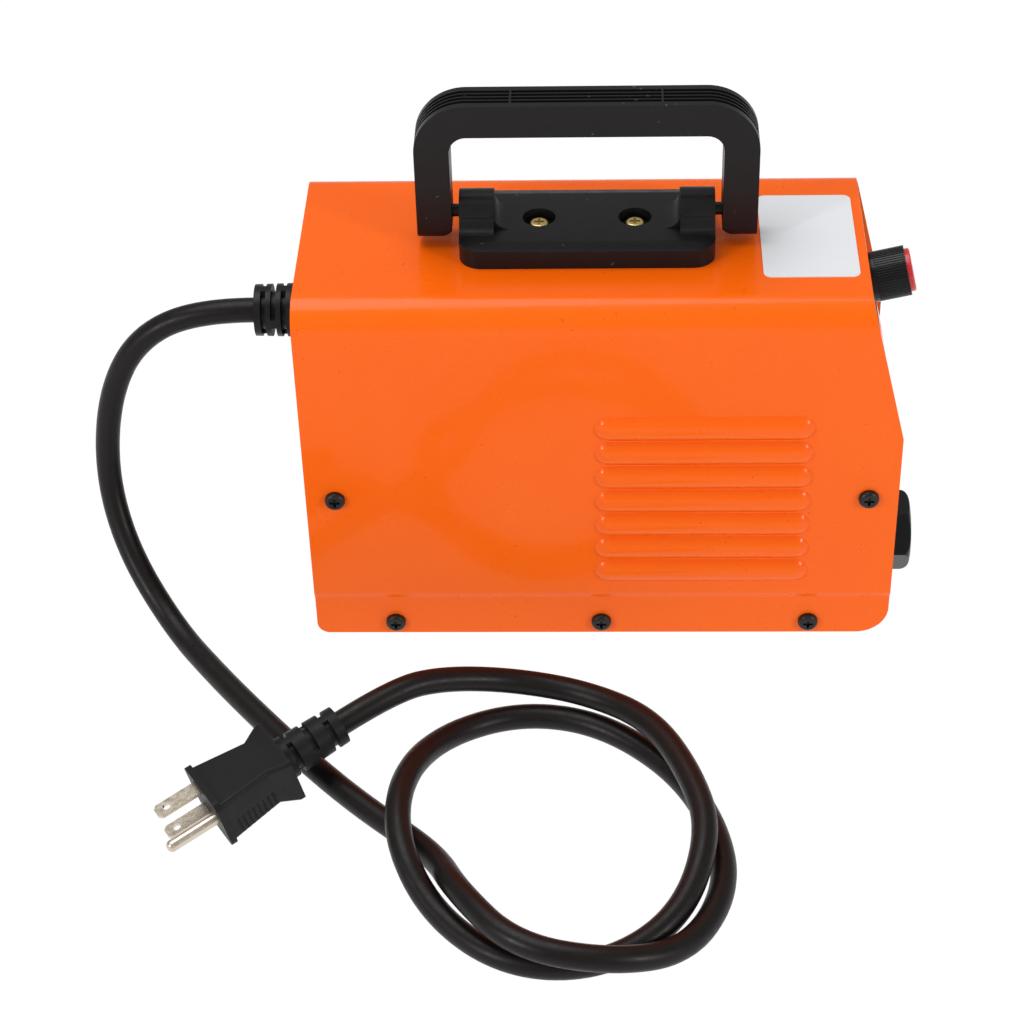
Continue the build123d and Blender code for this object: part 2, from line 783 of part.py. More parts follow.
knob_plane = Plane(
    origin=slope_plane.from_local_coords((0, knob_slope_position, 0)),
    x_dir=(0, 1, 0),
    z_dir=slope_normal,
)
with BuildPart() as potentiometer_body:
    with BuildSketch(knob_plane.offset(-panel_sheet)):
        Circle(pot_body_d / 2)
    extrude(amount=-pot_body_depth)
    with BuildSketch(knob_plane.offset(-panel_sheet)):
        Circle(pot_bush_d / 2)
    extrude(amount=pot_bush_length)
    with BuildSketch(knob_plane.offset(-panel_sheet - pot_body_depth + 1)):
        Circle(pot_shaft_d / 2 + pot_shaft_play)
    extrude(amount=pot_body_depth + pot_bush_length, mode=Mode.SUBTRACT)

with BuildPart() as potentiometer_nut:
    with BuildSketch(knob_plane):
        RegularPolygon(radius=pot_nut_across / 2, side_count=6, major_radius=False)
        Circle(pot_bush_d / 2, mode=Mode.SUBTRACT)
    extrude(amount=pot_nut_height)

shaft_start = -panel_sheet - pot_body_depth + 1.5
with BuildPart() as potentiometer_shaft:
    with BuildSketch(knob_plane.offset(shaft_start)):
        Circle(pot_shaft_d / 2)
    extrude(amount=pot_shaft_reach - shaft_start)

with BuildPart() as control_knob:
    with BuildSketch(knob_plane.offset(knob_standoff)):
        Circle(knob_d / 2)
    extrude(amount=knob_height - knob_standoff)
    knob_rims = control_knob.edges().group_by(Axis(knob_plane.origin, slope_normal))
    chamfer(knob_rims[0], length=knob_skirt_chamfer)
    with BuildSketch(knob_plane.offset(knob_standoff + knob_band)):
        with PolarLocations(knob_d / 2, knob_groove_count):
            Circle(knob_groove_d / 2)
    extrude(amount=knob_height, mode=Mode.SUBTRACT)
    with BuildSketch(knob_plane.offset(knob_standoff)):
        Circle(knob_pocket_d / 2)
    extrude(amount=knob_pocket_depth, mode=Mode.SUBTRACT)
    with BuildSketch(knob_plane.offset(knob_standoff)):
        Circle(pot_shaft_d / 2)
    extrude(amount=pot_shaft_reach - knob_standoff, mode=Mode.SUBTRACT)

with BuildPart() as knob_cap:
    with BuildSketch(knob_plane.offset(knob_height)):
        Circle(knob_cap_d / 2)
    extrude(amount=knob_cap_height)
    chamfer(knob_cap.edges().group_by(Axis(knob_plane.origin, slope_normal))[-1], length=0.5)

# ---------------------------------------------------------------- output sockets
def socket_plane(side):
    """The plane on the front panel's face at one socket's centre, looking out."""
    return Plane(origin=(front_face_x, side * socket_spacing / 2, socket_z), x_dir=(0, 1, 0), z_dir=(1, 0, 0))


def socket_collar(side):
    """The moulded six-sided collar, with the neck that passes through the panel."""
    with BuildPart() as collar:
        with BuildSketch(socket_plane(side)):
            Circle(socket_across_corners / 2)
        extrude(amount=socket_collar_length)
        fillet(collar.edges().group_by(Axis.X)[-1], radius=socket_rim_round)
        with BuildSketch(socket_plane(side)):
            RegularPolygon(radius=socket_across_corners / 2, side_count=6)
        extrude(amount=socket_collar_length, mode=Mode.INTERSECT)
        with BuildSketch(socket_plane(side)):
            Circle(socket_neck_d / 2)
        extrude(amount=-socket_neck_length)
        with BuildSketch(socket_plane(side).offset(socket_collar_length)):
            Circle(socket_mouth_d / 2)
        extrude(amount=-socket_mouth_depth, mode=Mode.SUBTRACT)
        with BuildSketch(socket_plane(side).offset(socket_collar_length)):
            Circle(socket_contact_d / 2)
        extrude(amount=-socket_collar_length - socket_neck_length, mode=Mode.SUBTRACT)
    return collar


def socket_contact(side):
    """The turned contact: a keyed bore for the cable plug, open at the front."""
    contact_face = socket_plane(side).offset(socket_collar_length - socket_mouth_depth)
    with BuildPart() as contact:
        with BuildSketch(contact_face):
            Circle(socket_contact_d / 2)
        extrude(amount=-socket_contact_length)
        with BuildSketch(contact_face):
            Circle(socket_bore_d / 2)
            with Locations((0, socket_bore_d / 2)):
                Rectangle(socket_key_width, 2 * socket_key_depth)
        extrude(amount=-socket_bore_depth, mode=Mode.SUBTRACT)
    return contact


socket_neck_length = panel_sheet + socket_nut_height + 2
socket_collar_positive = socket_collar(1)
socket_collar_negative = socket_collar(-1)
socket_contact_positive = socket_contact(1)
socket_contact_negative = socket_contact(-1)

socket_nut = hex_nut(socket_nut_across, socket_nut_height, socket_neck_d)
with BuildPart() as socket_nuts:
    for side in (-1, 1):
        with Locations(socket_plane(side).offset(-panel_sheet - socket_nut_height).location):
            add(socket_nut)

# ---------------------------------------------------------------- cooling fan
fan_inner_plane = fan_plane.offset(fan_depth - fan_strut_thickness)
fan_hub_depth = fan_depth - fan_strut_thickness - 2 * fan_frame_air
with BuildPart() as fan_frame:
    for flange_start in (0, fan_depth - fan_strut_thickness):
        with BuildSketch(fan_plane.offset(flange_start)):
            RectangleRounded(fan_size, fan_size, 4)
            Circle(fan_duct_r, mode=Mode.SUBTRACT)
            with GridLocations(fan_hole_pitch, fan_hole_pitch, 2, 2):
                Circle(fan_hole_d / 2, mode=Mode.SUBTRACT)
        extrude(amount=fan_strut_thickness)
    with BuildSketch(fan_plane):
        Circle((fan_size / 2 + fan_duct_r) / 2)
        Circle(fan_duct_r, mode=Mode.SUBTRACT)
    extrude(amount=fan_depth)
    with BuildSketch(fan_inner_plane):
        Circle(fan_hub_r)
        Rectangle(2 * fan_duct_r + 1, fan_strut_width)
        Rectangle(fan_strut_width, 2 * fan_duct_r + 1)
    extrude(amount=fan_strut_thickness)
    with BuildSketch(fan_inner_plane):
        Circle(fan_bearing_r)
    extrude(amount=-fan_bearing_length)
    with BuildSketch(fan_inner_plane.offset(-fan_bearing_length)):
        Circle(fan_shaft_d / 2 + fan_shaft_play)
    extrude(amount=fan_bearing_length + fan_strut_thickness / 2, mode=Mode.SUBTRACT)

with BuildPart() as fan_rotor:
    with BuildSketch(fan_plane.offset(fan_frame_air)):
        Circle(fan_hub_r)
    extrude(amount=fan_hub_depth)
    with BuildSketch(fan_plane.offset(fan_frame_air + fan_cup_wall)):
        Circle(fan_hub_r - fan_cup_wall)
    extrude(amount=fan_hub_depth, mode=Mode.SUBTRACT)
    with BuildSketch(fan_plane.offset(fan_frame_air)):
        Circle(fan_shaft_d / 2)
    extrude(amount=fan_depth - fan_strut_thickness - fan_frame_air)
    blade_centre = fan_plane.offset(fan_frame_air + fan_hub_depth / 2).origin
    for number in range(fan_blade_count):
        turn = math.radians(number * 360 / fan_blade_count)
        radial = (0, math.cos(turn), math.sin(turn))
        blade_root_plane = Plane(origin=blade_centre, x_dir=(1, 0, 0), z_dir=radial).offset(fan_hub_r - 1)
        with BuildSketch(blade_root_plane):
            Rectangle(fan_blade_chord, fan_blade_thickness, rotation=fan_blade_angle)
        extrude(amount=fan_blade_r - fan_hub_r + 1)

fan_screw = pan_head_screw(screw_head_d, screw_head_h, screw_d, fan_depth + panel_sheet)
with BuildPart() as fan_screws:
    for side_y in (-1, 1):
        for side_z in (-1, 1):
            hole_y = side_y * fan_hole_pitch / 2
            hole_z = fan_centre_height + side_z * fan_hole_pitch / 2
            with Locations(Plane(origin=(rear_face_x, hole_y, hole_z), z_dir=(-1, 0, 0)).location):
                add(fan_screw)

# ---------------------------------------------------------------- mains switch
rocker_plane = Plane(
    origin=(rear_face_x + rocker_pivot_depth, switch_y, switch_z),
    x_dir=(math.sin(rocker_lean), math.cos(rocker_lean), 0),
    z_dir=(0, 0, 1),
)
with BuildPart() as switch_housing:
    with BuildSketch(switch_plane):
        RectangleRounded(bezel_length, bezel_height, 1.5)
    extrude(amount=bezel_thickness)
    with BuildSketch(switch_plane):
        Rectangle(switch_body_length, switch_body_height)
    extrude(amount=-switch_body_depth)
    with BuildSketch(switch_plane.offset(bezel_thickness)):
        Rectangle(rocker_length + 2 * rocker_gap, rocker_height + 2 * rocker_gap)
    extrude(amount=-bezel_thickness - switch_pocket_depth, mode=Mode.SUBTRACT)
    with BuildSketch(rocker_plane):
        Circle(trunnion_d / 2 + trunnion_play)
    extrude(amount=rocker_height / 2 + rocker_gap + trunnion_length + 0.1, both=True, mode=Mode.SUBTRACT)

with BuildPart() as switch_rocker:
    with BuildSketch(rocker_plane):
        with BuildLine():
            Polyline(
                (-rocker_top_half, rocker_rise),
                (0, rocker_rise - rocker_dish),
                (rocker_top_half, rocker_rise),
            )
            ThreePointArc(
                (rocker_top_half, rocker_rise),
                (rocker_length / 2, 0),
                (rocker_back_half, -rocker_back),
            )
            Line((rocker_back_half, -rocker_back), (-rocker_back_half, -rocker_back))
            ThreePointArc(
                (-rocker_back_half, -rocker_back),
                (-rocker_length / 2, 0),
                (-rocker_top_half, rocker_rise),
            )
        make_face()
    extrude(amount=rocker_height / 2, both=True)
    with BuildSketch(rocker_plane):
        Circle(trunnion_d / 2)
    extrude(amount=rocker_height / 2 + rocker_gap + trunnion_length, both=True)

with BuildPart() as switch_terminals:
    with BuildSketch(switch_plane.offset(-switch_body_depth)):
        with GridLocations(switch_terminal_pitch, 1, 2, 1):
            Rectangle(spade_thickness, spade_width)
    extrude(amount=-spade_length)

# ---------------------------------------------------------------- mains cord and plug
relief_tip_x = rear_face_x - relief_length
with BuildPart() as cord_strain_relief:
    with BuildSketch(cord_plane):
        Circle(relief_base_d / 2)
    with BuildSketch(cord_plane.offset(relief_length)):
        Circle(relief_tip_d / 2)
    loft()
    groove_count = int((relief_length - relief_fin) / relief_fin_pitch)
    for number in range(groove_count):
        with BuildSketch(cord_plane.offset(relief_fin + number * relief_fin_pitch)):
            Circle(relief_base_d / 2)
            Circle(relief_core_d / 2, mode=Mode.SUBTRACT)
            Rectangle(relief_rib, 2 * relief_base_d, rotation=90 * (number % 2), mode=Mode.SUBTRACT)
        extrude(amount=relief_fin_pitch - relief_fin, mode=Mode.SUBTRACT)
    with BuildSketch(cord_plane):
        Circle(relief_neck_d / 2)
    extrude(amount=-panel_sheet)
    with BuildSketch(cord_plane.offset(-panel_sheet)):
        Circle(relief_flange_d / 2)
    extrude(amount=-relief_flange_depth)

heading = math.radians(plug_heading)
rise = math.radians(plug_rise)
plug_axis = (
    math.cos(rise) * math.cos(heading),
    math.cos(rise) * math.sin(heading),
    math.sin(rise),
)
plug_plane = Plane(origin=plug_front, x_dir=(math.sin(heading), -math.cos(heading), 0), z_dir=plug_axis)
plug_length = plug_body_length + plug_neck_length
blade_centre_x = -(ground_pin_offset / 2 - plug_pin_shift)
ground_pin_x = blade_centre_x + ground_pin_offset
with BuildPart() as plug_body:
    with BuildSketch(plug_plane):
        RectangleRounded(plug_face_width, plug_face_height, plug_corner)
    extrude(amount=plug_flange)
    plug_sections = [
        (plug_flange, plug_root_width, plug_root_height),
        (plug_waist_from_face, plug_waist_width, plug_waist_height),
        (plug_wing_from_face, plug_wing_width, plug_wing_height),
        (plug_body_length, plug_wing_width, plug_wing_height),
    ]
    for section in range(len(plug_sections) - 1):
        for along, across, tall in plug_sections[section : section + 2]:
            with BuildSketch(plug_plane.offset(along)):
                RectangleRounded(across, tall, plug_edge_round)
        loft()
    with BuildSketch(plug_plane.offset(plug_body_length)):
        Circle(plug_neck_d / 2)
    with BuildSketch(plug_plane.offset(plug_length)):
        Circle(plug_neck_tip_d / 2)
    loft()
    for number in range(plug_ring_count):
        ring_start = plug_length - plug_ring_end - number * plug_groove_pitch
        with BuildSketch(plug_plane.offset(ring_start)):
            Circle(plug_neck_d / 2)
            Circle(plug_neck_tip_d / 2 - plug_groove_depth, mode=Mode.SUBTRACT)
            Rectangle(relief_rib, 2 * plug_neck_d, rotation=90 * (number % 2), mode=Mode.SUBTRACT)
        extrude(amount=-plug_groove_width, mode=Mode.SUBTRACT)
    for number in range(plug_grip_count):
        along = plug_flange + plug_grip_start + number * plug_grip_pitch
        share = (along - plug_flange) / (plug_waist_from_face - plug_flange)
        across = plug_root_width * (1 - share) + plug_waist_width * share
        for side in (-1, 1):
            with BuildSketch(plug_plane.offset(along)):
                with Locations((side * across / 2, plug_grip_height / 2 + 1)):
                    Rectangle(2 * plug_grip_depth, plug_grip_height)
            extrude(amount=plug_grip_pitch / 2, mode=Mode.SUBTRACT)
    with BuildSketch(plug_plane):
        with Locations((blade_centre_x, -blade_spacing / 2), (blade_centre_x, blade_spacing / 2)):
            Rectangle(blade_width, blade_thickness)
        with Locations((ground_pin_x, 0)):
            Circle(ground_pin_root_d / 2)
    extrude(amount=blade_root, mode=Mode.SUBTRACT)

with BuildPart() as plug_blades:
    with BuildSketch(plug_plane.offset(blade_root)):
        with Locations((blade_centre_x, -blade_spacing / 2), (blade_centre_x, blade_spacing / 2)):
            Rectangle(blade_width, blade_thickness)
    extrude(amount=-blade_root - blade_length)
    blade_tips = plug_blades.faces().sort_by(Axis(plug_plane.origin, plug_axis))[0:2].edges()
    chamfer(blade_tips.filter_by(Axis(plug_plane.origin, plug_plane.y_dir)), length=blade_tip_chamfer)
    hole_centre = plug_plane.from_local_coords((blade_centre_x, 0, blade_hole_from_tip - blade_length))
    with BuildSketch(Plane(origin=hole_centre, z_dir=plug_plane.y_dir)):
        Circle(blade_hole_d / 2)
    extrude(amount=blade_spacing, both=True, mode=Mode.SUBTRACT)

with BuildPart() as plug_ground_pin:
    with BuildSketch(plug_plane.offset(blade_root)):
        with Locations((ground_pin_x, 0)):
            Circle(ground_pin_root_d / 2)
    extrude(amount=-blade_root)
    with BuildSketch(plug_plane):
        with Locations((ground_pin_x, 0)):
            Circle(ground_pin_d / 2)
    extrude(amount=-ground_pin_length)
    pin_tip = plug_ground_pin.faces().sort_by(Axis(plug_plane.origin, plug_axis))[0]
    fillet(pin_tip.edges(), radius=ground_pin_round)

cord_lay_z = cord_d / 2
cord_route = [
    (relief_tip_x, 0, cord_height),
    (-162, 0, cord_height),
    (-187, 0, 120),
    (-201, -1, 93),
    (-206, -5, 56),
    (-198, -20, 27),
    (-178, -43, cord_lay_z),
    (-157, -72, cord_lay_z),
    (-137, -97, cord_lay_z),
    (-115, -123, cord_lay_z),
    (-93, -146, cord_lay_z),
    (-66, -170, 5.5),
    (-56, -199, 17),
    (-35, -226, 18),
    (-1, -232, 16),
    (27, -218, 6.5),
    (42, -187, cord_lay_z),
    (39, -155, cord_lay_z),
    (24, -124, cord_lay_z),
    (-4, -99, cord_lay_z),
    (-35, -93, cord_lay_z),
    (-64, -108, 8),
    (-79, -140, 18),
    (-80, -173, 17),
    (-65, -200, cord_lay_z),
    (-37, -224, cord_lay_z),
    (-3, -224, cord_lay_z),
    (25, -203, 8),
    (36, -169, 17),
    (29, -140, 19),
    (15, -111, 18.5),
    (-10, -91, 14),
    (-39, -87, 17),
    (-65, -97, 27),
    tuple(plug_plane.from_local_coords((0, 0, plug_length + cord_last_run))),
    tuple(plug_plane.from_local_coords((0, 0, plug_length))),
]


def corner_radius(before, corner, after):
    """The largest arc that leaves a tenth of the shorter run straight at a corner."""
    arriving = Vector(corner) - Vector(before)
    leaving = Vector(after) - Vector(corner)
    half_turn = math.radians(arriving.get_angle(leaving) / 2)
    return 0.45 * min(arriving.length, leaving.length) / math.tan(half_turn)


cord_radii = [corner_radius(*cord_route[i : i + 3]) for i in range(len(cord_route) - 2)]
with BuildPart() as power_cord:
    with BuildLine() as cord_line:
        FilletPolyline(*cord_route, radius=cord_radii)
    with BuildSketch(cord_plane.offset(relief_length)):
        Circle(cord_d / 2)
    sweep(path=cord_line.line)

# ---------------------------------------------------------------- inside the case
board_x_start = rear_x + board_from_rear
with BuildPart() as main_board:
    with BuildSketch(Plane.XY.offset(board_z)):
        with Locations((board_x, 0)):
            Rectangle(board_length, board_width)
            with GridLocations(board_length - 2 * standoff_inset, board_width - 2 * standoff_inset, 2, 2):
                Circle(standoff_bore_d / 2, mode=Mode.SUBTRACT)
    extrude(amount=board_thickness)

with BuildPart() as board_standoffs:
    with BuildSketch(Plane.XY.offset(tray_top_z)):
        with Locations((board_x, 0)):
            with GridLocations(board_length - 2 * standoff_inset, board_width - 2 * standoff_inset, 2, 2):
                Circle(standoff_d / 2)
                Circle(standoff_bore_d / 2, mode=Mode.SUBTRACT)
    extrude(amount=board_lift)

sink_x = board_x_start + sink_from_board_end + sink_length / 2


def heatsink(side):
    """A finned bar along the machine, its fins pointing at one side of the cover."""
    with BuildPart() as sink:
        with BuildSketch(Plane.YZ.offset(sink_x - sink_length / 2)):
            with Locations((side * (sink_web_y - sink_web / 2), board_top_z + sink_height / 2)):
                Rectangle(sink_web, sink_height)
            for number in range(sink_fin_count):
                fin_z = board_top_z + sink_fin / 2 + number * (sink_height - sink_fin) / (sink_fin_count - 1)
                with Locations((side * (sink_web_y + sink_fin_reach / 2), fin_z)):
                    Rectangle(sink_fin_reach, sink_fin)
        extrude(amount=sink_length)
    return sink


left_heatsink = heatsink(1)
right_heatsink = heatsink(-1)

with BuildPart() as power_transistors:
    for side in (-1, 1):
        case_y = side * (sink_web_y - sink_web - transistor_thickness / 2)
        with Locations((sink_x, case_y, board_top_z + transistor_lift + transistor_height / 2)):
            with GridLocations(transistor_pitch, 1, 4, 1):
                Box(transistor_width, transistor_thickness, transistor_height)
        with Locations((sink_x, case_y, board_top_z + transistor_lift / 2)):
            with GridLocations(transistor_pitch, 1, 4, 1):
                Box(transistor_width * 0.7, 1, transistor_lift)

with BuildPart() as bus_capacitors:
    for number in range(capacitor_count):
        capacitor_x = sink_x + (number - (capacitor_count - 1) / 2) * (capacitor_d + 2)
        with BuildSketch(Plane.XY.offset(board_top_z)):
            with Locations((capacitor_x, 0)):
                Circle(capacitor_d / 2)
        extrude(amount=capacitor_height)
    fillet(bus_capacitors.edges().group_by(Axis.Z)[-1], radius=1)

with BuildPart() as rectifier_bridge:
    with Locations((sink_x, 0, board_top_z + sink_height + bridge_thickness / 2)):
        Box(bridge_length, 2 * sink_web_y, bridge_thickness)

transformer_x = sink_x + sink_length / 2 + transformer_gap + core_length / 2
core_z = board_top_z + bobbin_flange
with BuildPart() as transformer_core:
    with BuildSketch(Plane.YZ.offset(transformer_x - core_length / 2)):
        with Locations((0, core_z + core_height / 2)):
            Rectangle(core_width, core_height)
        for side in (-1, 1):
            with Locations((side * (core_leg / 2 + core_window / 2), core_z + core_height / 2)):
                Rectangle(core_window, core_height - core_leg, mode=Mode.SUBTRACT)
    extrude(amount=core_length)

with BuildPart() as transformer_winding:
    with BuildSketch(Plane.XY.offset(core_z + core_leg / 2)):
        with Locations((transformer_x, 0)):
            Rectangle(core_length + 2 * winding_build, core_leg + 2 * winding_build)
            Rectangle(core_length, core_leg, mode=Mode.SUBTRACT)
    extrude(amount=core_height - core_leg)
    with BuildSketch(Plane.XY.offset(board_top_z)):
        for side in (-1, 1):
            with Locations((transformer_x + side * (core_length / 2 + winding_build / 2), 0)):
                Rectangle(winding_build, core_leg)
    extrude(amount=bobbin_flange + core_leg)

choke_x = transformer_x + core_length / 2 + winding_build + 2 + choke_width / 2
with BuildPart() as output_choke:
    with BuildSketch(Plane.YZ.offset(choke_x - choke_width / 2)):
        with Locations((0, board_top_z + choke_d / 2)):
            Circle(choke_d / 2)
            Circle(choke_bore_d / 2, mode=Mode.SUBTRACT)
    extrude(amount=choke_width)

contact_back_x = front_face_x + socket_collar_length - socket_mouth_depth - socket_contact_length
with BuildPart() as output_busbars:
    for side in (-1, 1):
        with BuildSketch(Plane.XZ.offset(side * socket_spacing / 2)):
            with BuildLine():
                Polyline(
                    (contact_back_x - busbar_foot, board_top_z),
                    (contact_back_x, board_top_z),
                    (contact_back_x, socket_z + socket_contact_d / 2),
                    (contact_back_x - busbar_sheet, socket_z + socket_contact_d / 2),
                    (contact_back_x - busbar_sheet, board_top_z + busbar_sheet),
                    (contact_back_x - busbar_foot, board_top_z + busbar_sheet),
                    close=True,
                )
            make_face()
        extrude(amount=busbar_width / 2, both=True)

with BuildPart() as control_board:
    with BuildSketch(knob_plane.offset(-panel_sheet - pot_body_depth)):
        with Locations((0, -control_board_drop)):
            Rectangle(control_board_width, control_board_height)
    extrude(amount=-board_thickness)

# ---------------------------------------------------------------- write one file per piece
pieces = {
    "cover": cover,
    "base_tray": base_tray,
    "front_panel": front_panel,
    "rear_panel": rear_panel,
    "rubber_feet": rubber_feet,
    "foot_screws": foot_screws,
    "cover_screws": cover_screws,
    "top_label": top_label,
    "handle_base": handle_base,
    "handle_screws": handle_screws,
    "handle_nuts": handle_nuts,
    "carry_handle": carry_handle,
    "hinge_pins": hinge_pins,
    "scale_plate": scale_plate,
    "display_window": display_window,
    "indicator_lenses": indicator_lenses,
    "potentiometer_body": potentiometer_body,
    "potentiometer_nut": potentiometer_nut,
    "potentiometer_shaft": potentiometer_shaft,
    "control_knob": control_knob,
    "knob_cap": knob_cap,
    "socket_collar_positive": socket_collar_positive,
    "socket_collar_negative": socket_collar_negative,
    "socket_contact_positive": socket_contact_positive,
    "socket_contact_negative": socket_contact_negative,
    "socket_nuts": socket_nuts,
    "fan_frame": fan_frame,
    "fan_rotor": fan_rotor,
    "fan_screws": fan_screws,
    "switch_housing": switch_housing,
    "switch_rocker": switch_rocker,
    "switch_terminals": switch_terminals,
    "cord_strain_relief": cord_strain_relief,
    "power_cord": power_cord,
    "plug_body": plug_body,
    "plug_blades": plug_blades,
    "plug_ground_pin": plug_ground_pin,
    "main_board": main_board,
    "board_standoffs": board_standoffs,
    "left_heatsink": left_heatsink,
    "right_heatsink": right_heatsink,
    "power_transistors": power_transistors,
    "bus_capacitors": bus_capacitors,
    "rectifier_bridge": rectifier_bridge,
    "transformer_core": transformer_core,
    "transformer_winding": transformer_winding,
    "output_choke": output_choke,
    "output_busbars": output_busbars,
    "control_board": control_board,
}
for node_name, piece in pieces.items():
    piece.part.label = node_name
    export_step(piece.part, f"parts/{node_name}.step")

print("cord bend radii, mm:", [round(radius, 1) for radius in cord_radii])
cord_length = sum(edge.length for edge in cord_line.edges())
ideal_volume = cord_length * math.pi * cord_d**2 / 4
print("cord length, mm:", round(cord_length, 1))
print("cord volume over section times length:", round(power_cord.part.volume / ideal_volume, 4))
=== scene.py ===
import math

import bpy
from mathutils import Matrix, Vector


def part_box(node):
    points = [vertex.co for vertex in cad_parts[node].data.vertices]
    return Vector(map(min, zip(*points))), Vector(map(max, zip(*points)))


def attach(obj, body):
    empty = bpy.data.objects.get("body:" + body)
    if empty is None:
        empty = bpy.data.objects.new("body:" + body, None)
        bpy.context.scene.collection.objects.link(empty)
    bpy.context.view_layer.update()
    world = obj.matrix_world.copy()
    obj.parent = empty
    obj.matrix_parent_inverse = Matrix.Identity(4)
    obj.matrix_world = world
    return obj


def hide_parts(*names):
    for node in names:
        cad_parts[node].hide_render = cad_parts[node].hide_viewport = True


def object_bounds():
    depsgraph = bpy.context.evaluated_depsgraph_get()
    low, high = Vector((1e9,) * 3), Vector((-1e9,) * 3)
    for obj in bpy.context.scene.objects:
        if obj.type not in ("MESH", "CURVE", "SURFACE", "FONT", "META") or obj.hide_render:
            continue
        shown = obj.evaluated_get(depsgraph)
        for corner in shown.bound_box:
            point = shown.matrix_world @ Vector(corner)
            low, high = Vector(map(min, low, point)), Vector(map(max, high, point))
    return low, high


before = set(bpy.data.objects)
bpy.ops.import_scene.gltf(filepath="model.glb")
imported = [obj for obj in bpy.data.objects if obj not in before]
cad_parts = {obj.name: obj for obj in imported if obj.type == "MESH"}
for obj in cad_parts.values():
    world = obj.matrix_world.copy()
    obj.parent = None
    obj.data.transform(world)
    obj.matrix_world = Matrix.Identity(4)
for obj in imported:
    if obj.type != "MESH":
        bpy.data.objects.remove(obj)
cad_low, cad_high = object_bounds()

MM = 0.001


# ---------------------------------------------------------------- camera and light
def look_from(position, yaw, pitch, roll, lens):
    """The camera: yaw turns right, pitch tips down, roll turns the picture clockwise."""
    forward = Vector((
        math.sin(yaw) * math.cos(pitch),
        math.cos(yaw) * math.cos(pitch),
        -math.sin(pitch),
    ))
    level = Vector((math.cos(yaw), -math.sin(yaw), 0))
    down = forward.cross(level)
    right = math.cos(roll) * level + math.sin(roll) * down
    up = math.sin(roll) * level - math.cos(roll) * down
    data = bpy.data.cameras.new("bench_camera")
    data.lens = lens
    data.sensor_width = 36
    data.clip_start = 0.05
    data.clip_end = 50
    camera = bpy.data.objects.new("bench_camera", data)
    bpy.context.scene.collection.objects.link(camera)
    turn = Matrix((right, up, -forward)).transposed()
    camera.matrix_world = Matrix.Translation(position) @ turn.to_4x4()
    return camera


bpy.context.scene.camera = look_from(
    Vector((-4.2, -847.8, 712.1)) * MM, yaw=-0.043, pitch=0.676, roll=0.030, lens=92.28
)


def softbox(name, place, aim, width, height, watts, tint=(1, 1, 1)):
    """A rectangular studio light at place, facing aim."""
    data = bpy.data.lights.new(name, "AREA")
    data.shape = "RECTANGLE"
    data.size = width
    data.size_y = height
    data.energy = watts
    data.color = tint
    lamp = bpy.data.objects.new(name, data)
    lamp.location = place
    lamp.rotation_euler = (Vector(aim) - Vector(place)).to_track_quat("-Z", "Y").to_euler()
    bpy.context.scene.collection.objects.link(lamp)


middle = (cad_low + cad_high) / 2
softbox("overhead_softbox", (-0.35, 0.15, 1.5), middle, 1.2, 0.9, 12)
softbox("front_softbox", (-1.1, -1.0, 0.7), middle, 0.22, 0.45, 7.5)
softbox("side_softbox", (1.2, -0.9, 0.7), middle, 0.22, 0.45, 7.5)

world = bpy.data.worlds.new("studio")
world.use_nodes = True
world.node_tree.nodes["Background"].inputs["Color"].default_value = (1, 1, 1, 1)
world.node_tree.nodes["Background"].inputs["Strength"].default_value = 0.42
bpy.context.scene.world = world
bpy.context.scene.view_settings.view_transform = "Standard"


# ---------------------------------------------------------------- shader writing
class Wire:
    """A shader socket. Products and comparisons of wires and numbers add Math nodes."""

    def __init__(self, tree, socket):
        self.tree = tree
        self.socket = socket

    def math(self, operation, first, second=0.0):
        node = self.tree.nodes.new("ShaderNodeMath")
        node.operation = operation
        for slot, value in zip(node.inputs, (first, second)):
            if isinstance(value, Wire):
                self.tree.links.new(value.socket, slot)
            else:
                slot.default_value = value
        return Wire(self.tree, node.outputs[0])

    def __mul__(self, other):
        return self.math("MULTIPLY", self, other)

    def __rmul__(self, other):
        return self.math("MULTIPLY", other, self)

    def __gt__(self, other):
        return self.math("GREATER_THAN", self, other)

    def __lt__(self, other):
        return self.math("LESS_THAN", self, other)


